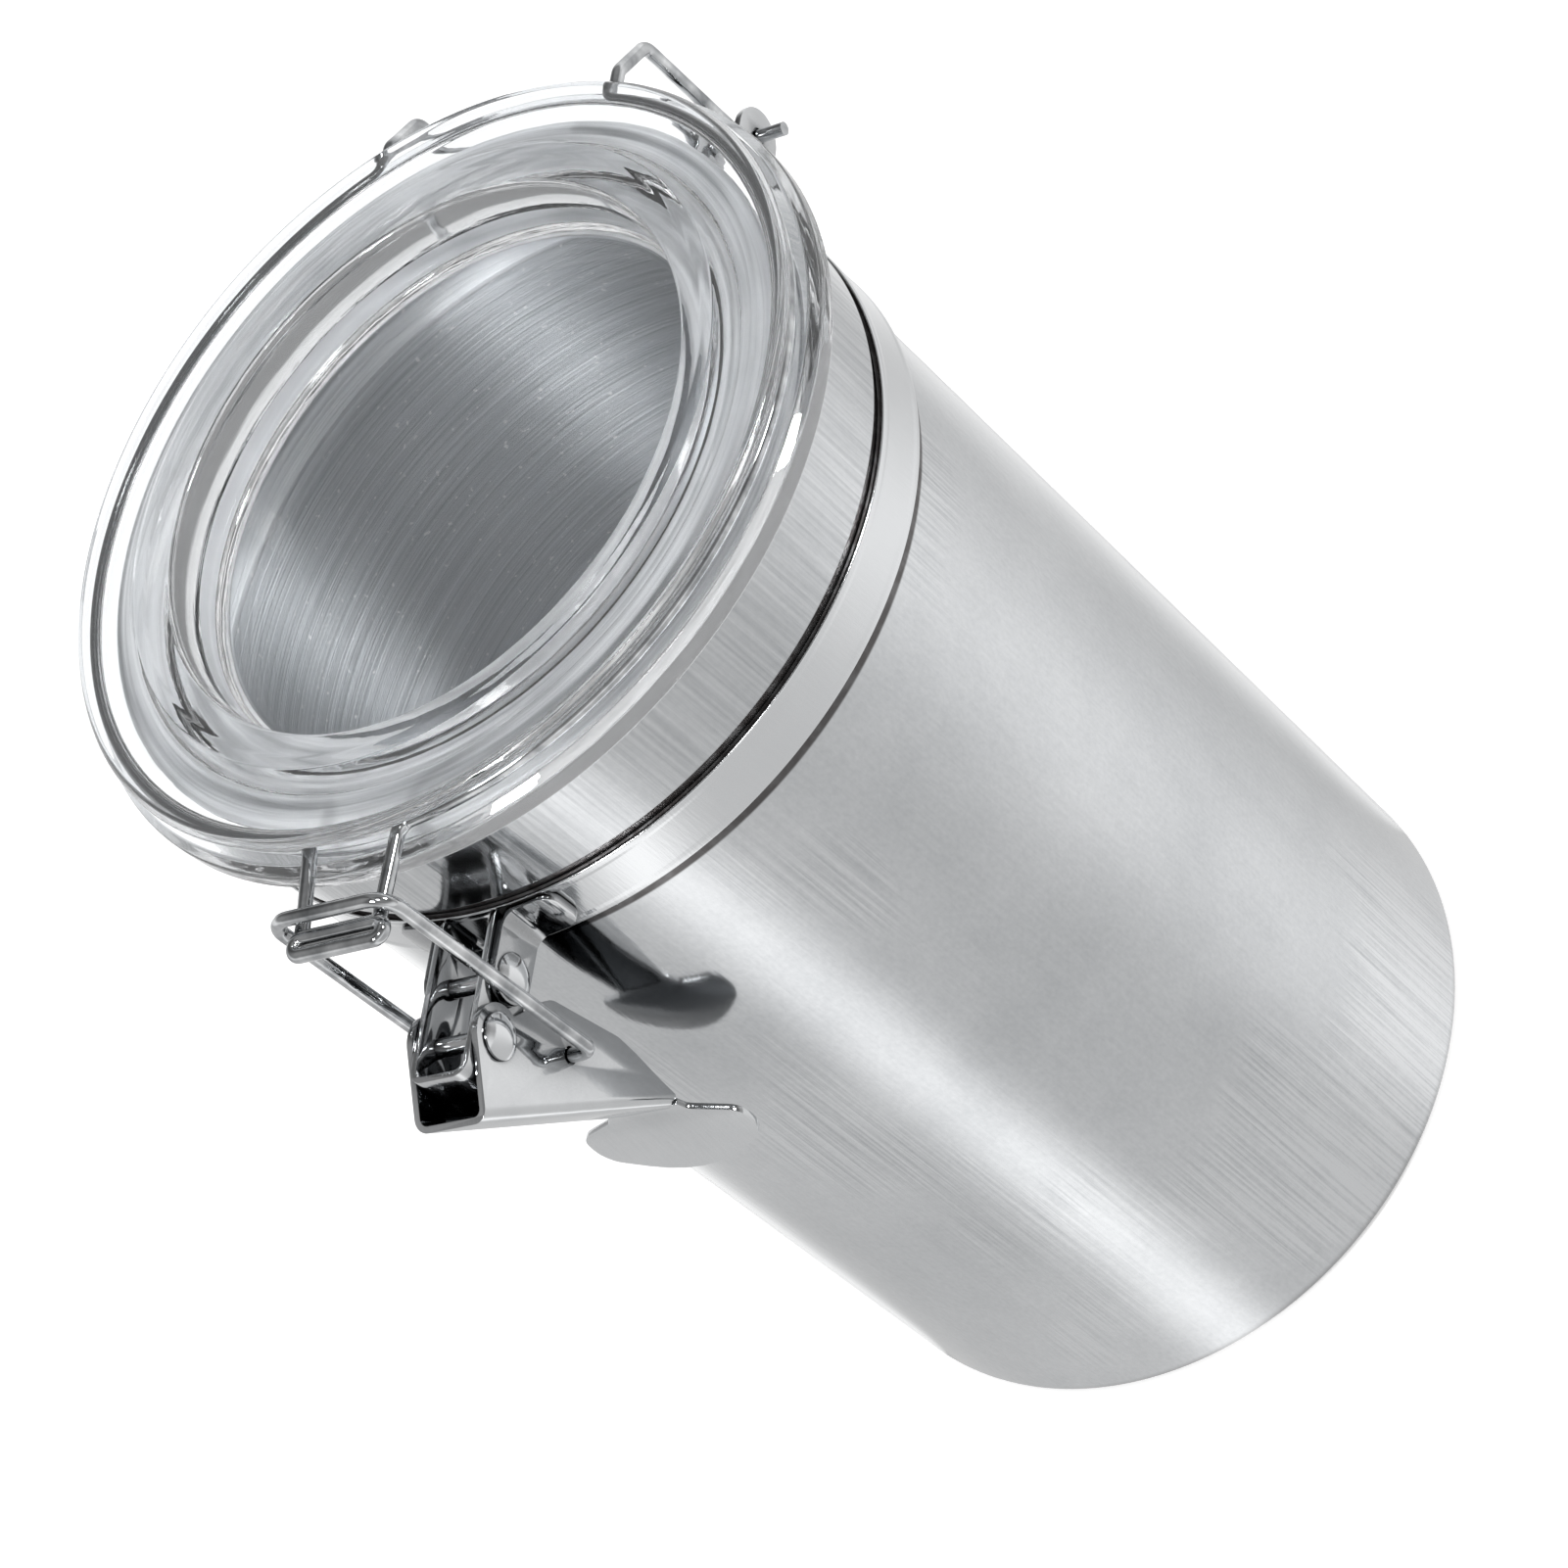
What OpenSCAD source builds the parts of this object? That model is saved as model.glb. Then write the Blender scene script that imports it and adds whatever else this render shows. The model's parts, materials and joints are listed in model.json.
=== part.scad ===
// Round steel storage canister with a clear lid held down by a wire latch.
// Units are millimetres, +Z is up, and the origin is the middle of the resting face.
// The latch faces -Y and the lid hinge is at +Y.

/* [Canister] */
// Outer diameter of the body
body_d = 120; // [100:1:140]
// Height of the open rim above the resting face
rim_height = 195; // [150:1:260]
// Sheet thickness of the wall and the floor
wall_t = 0.8; // [0.6:0.1:1.2]
// Outer rounding between the wall and the floor
bottom_round = 3.8; // [3:0.1:8]
// Height of the neck ring under the rim
neck_height = 16.8; // [14:0.2:24]
// How far the neck ring stands out from the body
neck_step = 1.0; // [0.6:0.1:1.6]

/* [Strap and ears] */
// Height of the strap
strap_height = 9.6; // [9:0.1:12]
// Thickness of the strap
strap_t = 1.3; // [0.8:0.1:1.8]
// Space between the strap and the neck ring
strap_below_neck = 1.6; // [0.6:0.1:3]
// Sheet thickness of the ears
ear_t = 1.2; // [0.8:0.1:1.4]
// Length of each ear's foot along the strap
ear_foot = 7.6; // [6:0.2:12]

/* [Latch] */
// Diameter of the two rivet pins
rivet_d = 2.8; // [2:0.1:3.2]
// Diameter of the rivet heads
rivet_head_d = 7; // [5:0.1:7.4]
// Height of the domed rivet heads
rivet_head_h = 1.5; // [1:0.1:1.6]
// Distance of the bracket rivet from the body
bracket_rivet_reach = 10.5; // [10:0.1:11.5]
// Distance between the two rivets
rivet_spacing = 9.7; // [9.4:0.1:11]
// Outer width of the bracket
bracket_width = 10.4; // [9:0.1:12]
// Sheet thickness of the bracket and the lever
latch_sheet = 1.0; // [0.8:0.1:1.2]
// Lean of the lever's front face away from vertical, in degrees
lever_lean = 28.5; // [27:0.5:30]
// Length of the lever's front face
lever_length = 46.3; // [42:0.5:52]
// Width of the thumb tab
tab_width = 29.4; // [20:0.2:34]
// Length of the thumb tab below the channel
tab_length = 15.3; // [12:0.1:24]

/* [Wires] */
// Diameter of the bent wires
wire_d = 2.2; // [1.8:0.1:2.4]
// Distance between the centre lines of the bail's two legs
bail_width = 21; // [20.6:0.1:26]
// Height of the bail's cross bar above the holes in the lever
bail_height = 47.8; // [47.4:0.1:50]
// Outer width of the front loop of the lid wire
loop_width = 18; // [16:0.1:18.2]
// Distance between the two rear legs of the lid wire
hinge_leg_spacing = 44; // [36:1:54]
// Distance of the hinge line from the body
hinge_reach = 13; // [12.4:0.1:16]

/* [Lid] */
// How far the lid's flange reaches beyond the neck ring
flange_overhang = 5.3; // [4.6:0.1:6]
// Width of the thick rim between the window and the outside of the plug
window_rim = 7.2; // [5:0.1:10]
// Thickness of the window
window_t = 2.5; // [1.6:0.1:4]
// How far the lid reaches down inside the rim
plug_depth = 2.8; // [2:0.1:5]
// Space between the lid's plug and the canister's wall
plug_gap = 6.4; // [3:0.1:9]
// Thickness of the gasket
gasket_t = 0.9; // [0.6:0.1:1.5]

/* [Hidden] */
round_fn = 96;
small_fn = 48;
overlap = 1;
body_r = body_d / 2;
inner_r = body_r - wall_t;
neck_r = body_r + neck_step;
wire_r = wire_d / 2;
fixed_gap = 0.05;
pin_gap = 0.08;
side_gap = 0.15;
clear_gap = 0.3;
// Bends are a hair thicker than the straights, which end just inside them
bend_swell = 0.01;
bend_lap = 0.1;
weld_swell = 0.05;

// Heights, from the rim down
neck_z = rim_height - neck_height;
strap_z = neck_z - strap_below_neck - strap_height;
strap_r = body_r + fixed_gap;
strap_out_r = strap_r + strap_t;
strap_edge = 0.35;
rim_round = 0.6;

// Ears: flat plates with a rounded tip and a curved foot on the strap
ear_foot_r = strap_out_r + ear_t;
ear_fillet = 2.4;
foot_round = 2.5;
front_ear_x = bracket_width / 2 + 0.1;
front_tip_r = rivet_head_d / 2 + 0.6;
rear_ear_x = hinge_leg_spacing / 2 + wire_r + clear_gap;
rear_tip_r = strap_height / 2;

// Latch pivots as (y, z)
bracket_pin = [-(body_r + bracket_rivet_reach), strap_z + 5.5];
lever_pin = [bracket_pin[0] - rivet_spacing, strap_z + 6];
bail_pin = [lever_pin[0] + 4.7, lever_pin[1] - 15.6];
hinge_pin = [body_r + hinge_reach, strap_z + rear_tip_r];

// Bracket
bracket_back_y = -(strap_out_r + clear_gap);
bracket_front_y = lever_pin[0] - 7.8;
bracket_z = strap_z + 0.6;
bracket_height = 9.6;
bracket_corner = 2.5;

// Lever, in its own plane: first value out from the lever rivet, second down the lever
lever_in_x = bracket_width / 2 + side_gap;
lever_out_x = lever_in_x + latch_sheet;
lever_corner = 2.2;
lever_arc_r = 4.9;
web_out = 11.85;
web_top = -5.64;
web_end = web_top + lever_length;
web_angle = atan2(web_top, web_out);
arc_angle = web_angle - acos(lever_arc_r / norm([web_out, web_top]));
cheek_edge = [[web_out + overlap, web_top], [web_out, web_top],
  [lever_arc_r * cos(arc_angle), lever_arc_r * sin(arc_angle)],
  [-2.6, 4.1], [-4.97, web_end * 0.327], [-1.4, web_end * 0.545],
  [1.09, web_end * 0.694], [3.67, web_end * 0.785], [7.7, web_end * 0.91],
  [web_out - 1.9, web_end - 0.54], [web_out - latch_sheet, web_end],
  [web_out + overlap, web_end]];
cheek_round = [0, 0, 0, 1.5, 4, 6, 6, 6, 6, 0, 0, 0];
fold = lever_pin + web_out * [-cos(lever_lean), -sin(lever_lean)]
  + web_end * [sin(lever_lean), -cos(lever_lean)];
tab_curl_r = 80;
tab_lap = 0.8;
// Depths below the fold where the tab is full width, starts to narrow, and would end in a point
tab_shoulder = 0.26 * tab_length;
tab_side = 0.66 * tab_length;
tab_point = 1.14 * tab_length;
tab_end_r = 0.65 * tab_width;

// Bail, from its ends in the lever up to the cross bar
bail_x = bail_width / 2;
bail_end_x = lever_in_x - 0.85;
bail_low_bend = 2.3;
bail_high_bend = 3.5;

// Lid, as (radius, height above the rim)
flange_r = neck_r + flange_overhang;
plug_r = inner_r - plug_gap;
window_r = plug_r - window_rim;
flange_z = rim_height + gasket_t;
flange_t = 5.1;
groove_r = flange_r - 3.5;
groove_z = flange_z + 6.7;
groove_cut = 1.4;
crest_r = plug_r - 0.3;
crest_width = 1.9;
lip_drop = 1.1;
gasket_sleeve_t = 1.7;
gasket_lip_t = 0.4;
gasket_out_r = neck_r - 0.2;
rest_gap = 0.05;

// Lid wire
ring_r = groove_r - 0.2;
front_leg_x = loop_width / 2 - 1;
loop_r = wire_r + 0.25;
loop_x = loop_width / 2 - wire_r;
loop_y = bail_pin[0] - 1.4;
loop_z = groove_z - 0.8;
front_lead = 2.6;
rear_lead = 2.8;
wire_bend = 2.5;
hinge_bend = 1.3;
hinge_tail = 4.9;

function unit(v) = v / norm(v);

function turn_between(a, b, c) = acos(unit(b - a) * unit(c - b));

// Points of an arc that rounds corner b between a and c
function corner_arc(a, b, c, r, steps = 6) =
  let (p = unit(a - b), q = unit(c - b), half = acos(p * q) / 2, sweep = 180 - 2 * half,
    centre = b + unit(p + q) * r / sin(half),
    from = b + p * r / tan(half) - centre, to = b + q * r / tan(half) - centre)
  [for (k = [0:steps]) centre
    + (from * sin(sweep * (1 - k / steps)) + to * sin(sweep * k / steps)) / sin(sweep)];

// A closed outline with rounded corners, where a radius of 0 keeps the corner
function rounded(points, radii) =
  let (n = len(points))
  [for (i = [0:n - 1])
    each radii[i] == 0 ? [points[i]]
      : corner_arc(points[(i + n - 1) % n], points[i], points[(i + 1) % n], radii[i])];

// Places a shape with its own x, y and z along three directions
module placed(origin, x, y, z) {
  multmatrix([[x[0], y[0], z[0], origin[0]], [x[1], y[1], z[1], origin[1]],
    [x[2], y[2], z[2], origin[2]], [0, 0, 0, 1]]) children();
}

module rod(a, b, r) {
  w = unit(b - a);
  u = unit(cross(abs(w[2]) > 0.9 ? [1, 0, 0] : [0, 0, 1], w));
  placed(a, u, cross(w, u), w) cylinder(h = norm(b - a), r = r, $fn = small_fn);
}

module elbow(a, b, c, bend, r) {
  d = unit(b - a);
  e = unit(c - b);
  turn = turn_between(a, b, c);
  m = unit(e - d * (d * e));
  start = b - d * bend * tan(turn / 2);
  placed(start + m * bend, -m, d, cross(d, m))
    rotate_extrude(angle = turn, $fn = round_fn)
      translate([bend, 0]) circle(r + bend_swell, $fn = small_fn);
}

// A wire along straight lines, with a bend radius at each inner point
module bent_wire(points, bends, r, start_lap = 0) {
  n = len(points);
  trim = [for (i = [0:n - 1]) i == 0 ? -start_lap : i == n - 1 ? 0
    : bends[i] * tan(turn_between(points[i - 1], points[i], points[i + 1]) / 2) - bend_lap];
  for (i = [0:n - 2]) {
    d = unit(points[i + 1] - points[i]);
    rod(points[i] + d * trim[i], points[i + 1] - d * trim[i + 1], r);
  }
  for (i = [1:n - 2]) elbow(points[i - 1], points[i], points[i + 1], bends[i], r);
}

// Turns an outline drawn as (y, z) into a plate from x to x + t
module side_plate(x, t) {
  placed([x, 0, 0], [0, 1, 0], [0, 0, 1], [1, 0, 0]) linear_extrude(t) children();
}

module x_hole(yz, r, x) {
  placed([-x, yz[0], yz[1]], [0, 1, 0], [0, 0, 1], [1, 0, 0])
    cylinder(h = 2 * x, r = r, $fn = small_fn);
}

// Rectangle from (r, z) with rounded corners
module soft_rect(r, z, w, h, edge) {
  translate([r + edge, z]) square([w - 2 * edge, h]);
  translate([r, z + edge]) square([w, h - 2 * edge]);
  for (x = [r + edge, r + w - edge], y = [z + edge, z + h - edge])
    translate([x, y]) circle(edge, $fn = small_fn);
}

// Solid shape of a pot with a rounded bottom edge
module pot(r, z, h, edge) {
  rotate_extrude($fn = round_fn) {
    translate([0, z]) square([r - edge, h]);
    translate([0, z + edge]) square([r, h - edge]);
    translate([r - edge, z + edge]) intersection() {
      circle(edge, $fn = small_fn);
      translate([0, -edge]) square(edge);
    }
  }
}

module canister_body() {
  color("silver") difference() {
    union() {
      pot(body_r, 0, neck_z + neck_height / 2, bottom_round);
      rotate_extrude($fn = round_fn)
        soft_rect(inner_r, neck_z, neck_r - inner_r, neck_height, rim_round);
    }
    pot(inner_r, wall_t, rim_height, bottom_round - wall_t);
  }
}

module neck_strap() {
  color("gainsboro") rotate_extrude($fn = round_fn)
    soft_rect(strap_r, strap_z, strap_t, strap_height, strap_edge);
}

// One ear for the +X side, with the plate reaching out along +Y
module ear(plate_x, pin, tip_r, hole_r) {
  out_x = plate_x + ear_t;
  foot_x = out_x + ear_foot;
  low = pin[1] - tip_r;
  fillet_x = out_x + ear_fillet;
  fillet_y = sqrt(pow(ear_foot_r + ear_fillet, 2) - pow(fillet_x, 2));
  touch = [fillet_x, fillet_y] * ear_foot_r / (ear_foot_r + ear_fillet);
  root_y = sqrt(pow(strap_out_r, 2) - pow(fillet_x, 2)) - overlap;
  outline = [[plate_x, low], [foot_x, low], [foot_x, low + 2 * tip_r],
    [plate_x, low + 2 * tip_r]];
  difference() {
    union() {
      side_plate(plate_x, ear_t) {
        translate([root_y, low]) square([pin[0] - root_y, 2 * tip_r]);
        translate(pin) circle(tip_r, $fn = small_fn);
      }
      intersection() {
        translate([0, 0, low]) cylinder(h = 2 * tip_r, r = ear_foot_r, $fn = round_fn);
        placed([0, 0, 0], [1, 0, 0], [0, 0, 1], [0, -1, 0]) mirror([0, 0, 1])
          linear_extrude(ear_foot_r) polygon(rounded(outline, [0, foot_round, foot_round, 0]));
      }
      translate([0, 0, low]) linear_extrude(2 * tip_r) difference() {
        polygon([[out_x - ear_t / 2, fillet_y], [fillet_x, fillet_y], touch,
          [out_x - ear_t / 2, root_y]]);
        translate([fillet_x, fillet_y]) circle(ear_fillet, $fn = round_fn);
      }
    }
    translate([0, 0, low - overlap])
      cylinder(h = 2 * (tip_r + overlap), r = strap_out_r, $fn = round_fn);
    x_hole(pin, hole_r, foot_x);
  }
}

module front_ear() {
  ear(front_ear_x, [-bracket_pin[0], bracket_pin[1]], front_tip_r, rivet_d / 2 + fixed_gap);
}

module front_ear_left() {
  color("gainsboro") rotate([0, 0, 180]) front_ear();
}

module front_ear_right() {
  color("gainsboro") mirror([0, 1, 0]) front_ear();
}

module hinge_ear() {
  ear(rear_ear_x, hinge_pin, rear_tip_r, wire_r + clear_gap);
}

module hinge_ear_left() {
  color("gainsboro") mirror([1, 0, 0]) hinge_ear();
}

module hinge_ear_right() {
  color("gainsboro") hinge_ear();
}

// Channel section: open at y = 0, closed at y = depth
module channel(half_width, depth, edge) {
  translate([-half_width, 0]) square([2 * half_width, depth - edge]);
  translate([edge - half_width, 0]) square([2 * (half_width - edge), depth]);
  for (s = [-1, 1]) translate([s * (half_width - edge), depth - edge])
    circle(edge, $fn = small_fn);
}

module channel_shell(half_width, depth, edge) {
  difference() {
    channel(half_width, depth, edge);
    translate([0, -overlap])
      channel(half_width - latch_sheet, depth - latch_sheet + overlap, edge - latch_sheet);
  }
}

module latch_bracket() {
  color("gainsboro") difference() {
    translate([0, bracket_back_y, bracket_z]) mirror([0, 1, 0])
      linear_extrude(bracket_height)
        channel_shell(bracket_width / 2, bracket_back_y - bracket_front_y, bracket_corner);
    x_hole(bracket_pin, rivet_d / 2 + fixed_gap, bracket_width);
    x_hole(lever_pin, rivet_d / 2 + fixed_gap, bracket_width);
  }
}

// Pin along X with a domed head beyond +x and -x
module rivet(pin, x) {
  rim = 0.3;
  dome_h = rivet_head_h - rim;
  head_r = rivet_head_d / 2;
  dome_r = (head_r * head_r + dome_h * dome_h) / (2 * dome_h);
  x_hole(pin, rivet_d / 2, x + rim);
  for (s = [-1, 1]) placed([s * x, pin[0], pin[1]], [0, s, 0], [0, 0, 1], [s, 0, 0]) {
    cylinder(h = rim, r = head_r, $fn = round_fn);
    intersection() {
      translate([0, 0, rivet_head_h - dome_r]) sphere(dome_r, $fn = round_fn);
      translate([0, 0, rim]) cylinder(h = rivet_head_h, r = head_r + overlap, $fn = round_fn);
    }
  }
}

module bracket_rivet() {
  color("silver") rivet(bracket_pin, front_ear_x + ear_t);
}

module lever_rivet() {
  color("silver") rivet(lever_pin, lever_out_x + side_gap);
}

module lever_tab() {
  half = tab_width / 2;
  root = lever_out_x + 0.8;
  outline = [[-lever_out_x, fold[1] + tab_lap], [-root, fold[1] - 1],
    [-half, fold[1] - tab_shoulder], [-half, fold[1] - tab_side], [0, fold[1] - tab_point],
    [half, fold[1] - tab_side], [half, fold[1] - tab_shoulder],
    [root, fold[1] - 1], [lever_out_x, fold[1] + tab_lap]];
  side_r = tab_side / 2;
  shoulder_r = 0.2 * tab_length;
  radii = [0, 2, shoulder_r, side_r, tab_end_r, side_r, shoulder_r, 2, 0];
  intersection() {
    placed([0, fold[0] + tab_width / 2, 0], [1, 0, 0], [0, 0, 1], [0, -1, 0])
      linear_extrude(tab_width) polygon(rounded(outline, radii));
    placed([-half - overlap, fold[0] - tab_curl_r, fold[1]], [0, 1, 0], [0, 0, 1], [1, 0, 0])
      difference() {
        cylinder(h = 2 * (half + overlap), r = tab_curl_r + latch_sheet, $fn = round_fn);
        translate([0, 0, -overlap])
          cylinder(h = 2 * (half + 2 * overlap), r = tab_curl_r, $fn = round_fn);
      }
  }
}

module lever() {
  color("gainsboro") difference() {
    union() {
      translate([0, lever_pin[0], lever_pin[1]]) rotate([180 + lever_lean, 0, 0])
        intersection() {
          translate([0, -lever_arc_r - overlap, -2 * lever_arc_r])
            linear_extrude(2 * lever_arc_r + web_end)
              channel_shell(lever_out_x, web_out + lever_arc_r + overlap, lever_corner);
          side_plate(-lever_out_x - overlap, 2 * (lever_out_x + overlap)) {
            polygon(rounded(cheek_edge, cheek_round));
            circle(lever_arc_r, $fn = round_fn);
          }
        }
      lever_tab();
    }
    x_hole(lever_pin, rivet_d / 2 + pin_gap, 2 * lever_out_x);
    x_hole(bail_pin, wire_r + clear_gap, 2 * lever_out_x);
  }
}

module bail_wire() {
  top_z = bail_pin[1] + bail_height;
  y = bail_pin[0];
  color("silver") bent_wire([[-bail_end_x, y, bail_pin[1]], [-bail_x, y, bail_pin[1]],
    [-bail_x, y, top_z], [bail_x, y, top_z], [bail_x, y, bail_pin[1]],
    [bail_end_x, y, bail_pin[1]]],
    [0, bail_low_bend, bail_high_bend, bail_high_bend, bail_low_bend, 0], wire_r);
}

module lid() {
  low = rim_height - plug_depth;
  edge = flange_z + flange_t;
  outline = [[0, low], [plug_r - 1.2, low], [plug_r, low + 1.2], [plug_r, flange_z],
    [flange_r - 1, flange_z], [flange_r, flange_z + 1], [flange_r, edge - 1.4],
    [flange_r - 1.4, edge], [groove_r, edge + 0.3], [groove_r, groove_z + 1.4],
    [flange_r - 2.3, edge + 3], [flange_r - 1.6, edge + 4], [flange_r - 2.7, edge + 5.3],
    [flange_r - 4, edge + 5], [crest_r + 3.5, edge + 3.5],
    [crest_r, edge + 5.6], [crest_r - crest_width, edge + 5.6],
    [window_r + 0.5, edge + 5.6 - lip_drop], [window_r, low + window_t], [0, low + window_t]];
  radii = [0, 1.2, 1.2, 0, 0.5, 0.5, 1, 1, 0, 0, 0.5, 0.6, 0.8, 1, 8, 0.9, 3, 1.2, 2, 0];
  color("white", 0.4) rotate_extrude($fn = round_fn) difference() {
    polygon(rounded(outline, radii));
    translate([groove_r, groove_z]) circle(groove_cut, $fn = small_fn);
  }
}

module lid_gasket() {
  seat_z = rim_height + rest_gap;
  inner = plug_r + fixed_gap;
  sleeve_r = inner + gasket_sleeve_t;
  lip_z = rim_height - plug_depth - fixed_gap - gasket_lip_t;
  color("whitesmoke") rotate_extrude($fn = round_fn) {
    translate([inner, seat_z]) square([gasket_out_r - inner, flange_z - seat_z]);
    translate([inner, lip_z]) square([gasket_sleeve_t, flange_z - lip_z]);
    translate([window_r, lip_z]) square([sleeve_r - window_r, gasket_lip_t]);
  }
}

// Half of the lid wire: the ring in the groove, one front leg and one rear leg
module lid_wire_side(s) {
  front_y = -sqrt(pow(ring_r, 2) + pow(front_lead, 2) - pow(front_leg_x, 2));
  front_angle = atan2(front_leg_x, -front_y) + atan2(front_lead, ring_r);
  rear_x = hinge_leg_spacing / 2;
  rear_y = sqrt(pow(ring_r, 2) + pow(rear_lead, 2) - pow(rear_x, 2));
  rear_angle = atan2(rear_x, rear_y) + atan2(rear_lead, ring_r);
  knee = [s * rear_x, hinge_pin[0] - 0.7, flange_z + 2.1];
  translate([0, 0, groove_z]) rotate([0, 0, s > 0 ? front_angle - 90 : 90 + rear_angle])
    rotate_extrude(angle = 180 - front_angle - rear_angle, $fn = round_fn)
      translate([ring_r, 0]) circle(wire_r + bend_swell, $fn = small_fn);
  bent_wire([[s * ring_r * sin(front_angle), -ring_r * cos(front_angle), groove_z],
    [s * front_leg_x, front_y, groove_z], [s * (loop_x - 1), loop_y, loop_z]],
    [0, wire_bend, 0], wire_r, bend_lap);
  bent_wire([[s * ring_r * sin(rear_angle), ring_r * cos(rear_angle), groove_z],
    [s * rear_x, rear_y, groove_z], [s * rear_x, flange_r - 2, groove_z], knee,
    [s * rear_x, hinge_pin[0], hinge_pin[1]],
    [s * (rear_ear_x + ear_t + hinge_tail), hinge_pin[0], hinge_pin[1]]],
    [0, wire_bend, wire_bend, wire_bend, hinge_bend, 0], wire_r, bend_lap);
  translate([s * (loop_x - loop_r), loop_y - loop_r, loop_z]) rotate([0, 0, -90 * s])
    rotate_extrude(angle = 180, $fn = round_fn)
      translate([loop_r, 0]) circle(wire_r + weld_swell + bend_swell, $fn = small_fn);
}

module lid_wire() {
  end_x = loop_x - loop_r;
  color("silver") {
    lid_wire_side(-1);
    lid_wire_side(1);
    for (y = [loop_y, loop_y - 2 * loop_r])
      rod([-end_x - bend_lap, y, loop_z], [end_x + bend_lap, y, loop_z], wire_r + weld_swell);
  }
}

canister_body();
neck_strap();
front_ear_left();
front_ear_right();
latch_bracket();
bracket_rivet();
lever_rivet();
lever();
bail_wire();
lid();
lid_gasket();
lid_wire();
hinge_ear_left();
hinge_ear_right();
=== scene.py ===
import json
import math
import bpy
import bmesh
from mathutils import Matrix, Vector

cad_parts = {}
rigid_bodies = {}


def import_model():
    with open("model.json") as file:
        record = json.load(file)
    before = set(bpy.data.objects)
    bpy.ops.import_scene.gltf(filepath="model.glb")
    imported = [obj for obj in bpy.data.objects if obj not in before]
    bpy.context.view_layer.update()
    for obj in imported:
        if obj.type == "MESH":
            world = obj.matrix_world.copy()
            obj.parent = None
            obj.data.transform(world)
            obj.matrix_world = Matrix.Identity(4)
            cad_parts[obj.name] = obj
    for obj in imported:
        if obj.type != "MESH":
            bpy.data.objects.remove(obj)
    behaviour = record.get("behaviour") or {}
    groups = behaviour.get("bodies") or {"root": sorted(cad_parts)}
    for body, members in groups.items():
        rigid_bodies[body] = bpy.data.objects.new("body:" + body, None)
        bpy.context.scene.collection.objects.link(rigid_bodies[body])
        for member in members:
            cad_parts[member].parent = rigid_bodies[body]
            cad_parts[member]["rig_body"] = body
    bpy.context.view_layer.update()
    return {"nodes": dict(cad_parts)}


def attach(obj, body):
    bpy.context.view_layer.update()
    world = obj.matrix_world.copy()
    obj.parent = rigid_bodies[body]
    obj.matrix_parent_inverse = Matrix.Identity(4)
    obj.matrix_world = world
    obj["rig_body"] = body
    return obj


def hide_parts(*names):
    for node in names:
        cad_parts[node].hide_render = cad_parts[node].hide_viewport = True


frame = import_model()
nodes = frame["nodes"]
mm = 0.001
print("frame loaded:", len(nodes), "nodes")


# camera, as the photograph was taken

camera = {
    "place": (0.42795, -0.38748, 0.63718),
    "right": (0.8141519, 0.1335899, -0.5650756),
    "down": (-0.1882183, -0.8599116, -0.4744743),
    "ahead": (-0.5493000, 0.4926517, -0.6749546),
    "lens": 114.178, "sensor": 36, "farthest": 20,
}


def makeCamera(s):
    data = bpy.data.cameras.new("camera")
    data.lens = s["lens"]
    data.sensor_width = s["sensor"]
    data.clip_end = s["farthest"]
    cam = bpy.data.objects.new("camera", data)
    bpy.context.scene.collection.objects.link(cam)
    x, y, z = Vector(s["right"]), -Vector(s["down"]), -Vector(s["ahead"])
    turn = Matrix((x, y, z)).transposed().to_4x4()
    cam.matrix_world = Matrix.Translation(s["place"]) @ turn
    bpy.context.scene.camera = cam


makeCamera(camera)
print("camera set")


# node helpers, for shaders and for geometry

def addNode(tree, kind, settings=None, inputs=None):
    node = tree.nodes.new(kind)
    for key, value in (settings or {}).items():
        setattr(node, key, value)
    for key, value in (inputs or {}).items():
        if isinstance(value, Value):
            value = value.socket
        if isinstance(value, bpy.types.NodeSocket):
            tree.links.new(value, node.inputs[key])
        else:
            node.inputs[key].default_value = value
    return node


class Value:
    # a number socket whose sums become Math nodes
    def __init__(self, tree, socket):
        self.tree, self.socket = tree, socket

    def worked(self, operation, *values):
        node = addNode(self.tree, "ShaderNodeMath", {"operation": operation}, dict(enumerate(values)))
        return Value(self.tree, node.outputs[0])

    def __add__(self, other):
        return self.worked("ADD", self, other)

    def __radd__(self, other):
        return self.worked("ADD", other, self)

    def __sub__(self, other):
        return self.worked("SUBTRACT", self, other)

    def __rsub__(self, other):
        return self.worked("SUBTRACT", other, self)

    def __mul__(self, other):
        return self.worked("MULTIPLY", self, other)

    def __rmul__(self, other):
        return self.worked("MULTIPLY", other, self)

    def __truediv__(self, other):
        return self.worked("DIVIDE", self, other)

    def __rtruediv__(self, other):
        return self.worked("DIVIDE", other, self)

    def __pow__(self, other):
        return self.worked("POWER", self, other)

    def __rpow__(self, other):
        return self.worked("POWER", other, self)

    def root(self):
        return self.worked("SQRT", self)

    def sine(self):
        return self.worked("SINE", self)

    def angle(self, across):
        # the angle round the axis, of y over x
        return self.worked("ARCTAN2", self, across)

    def folded(self, width):
        # runs up and down between 0 and the width
        return self.worked("PINGPONG", self, width)

    def clamp(self, low=0.0, high=1.0):
        raised = self.worked("MAXIMUM", self, low)
        return self.worked("MINIMUM", raised, high)

    def step(self, low, high):
        # 0 below low, 1 above high and smooth between
        node = addNode(self.tree, "ShaderNodeMapRange", {"interpolation_type": "SMOOTHSTEP"}, {
            "Value": self, "From Min": low, "From Max": high})
        return Value(self.tree, node.outputs[0])

    def band(self, low, high, soft):
        # 1 between low and high, 0 outside
        return self.step(low - soft, low) * (1.0 - self.step(high, high + soft))

    def swing(self, amount):
        # a noise, turned into a change of up to half the amount either way
        return (self - 0.5) * amount


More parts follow.
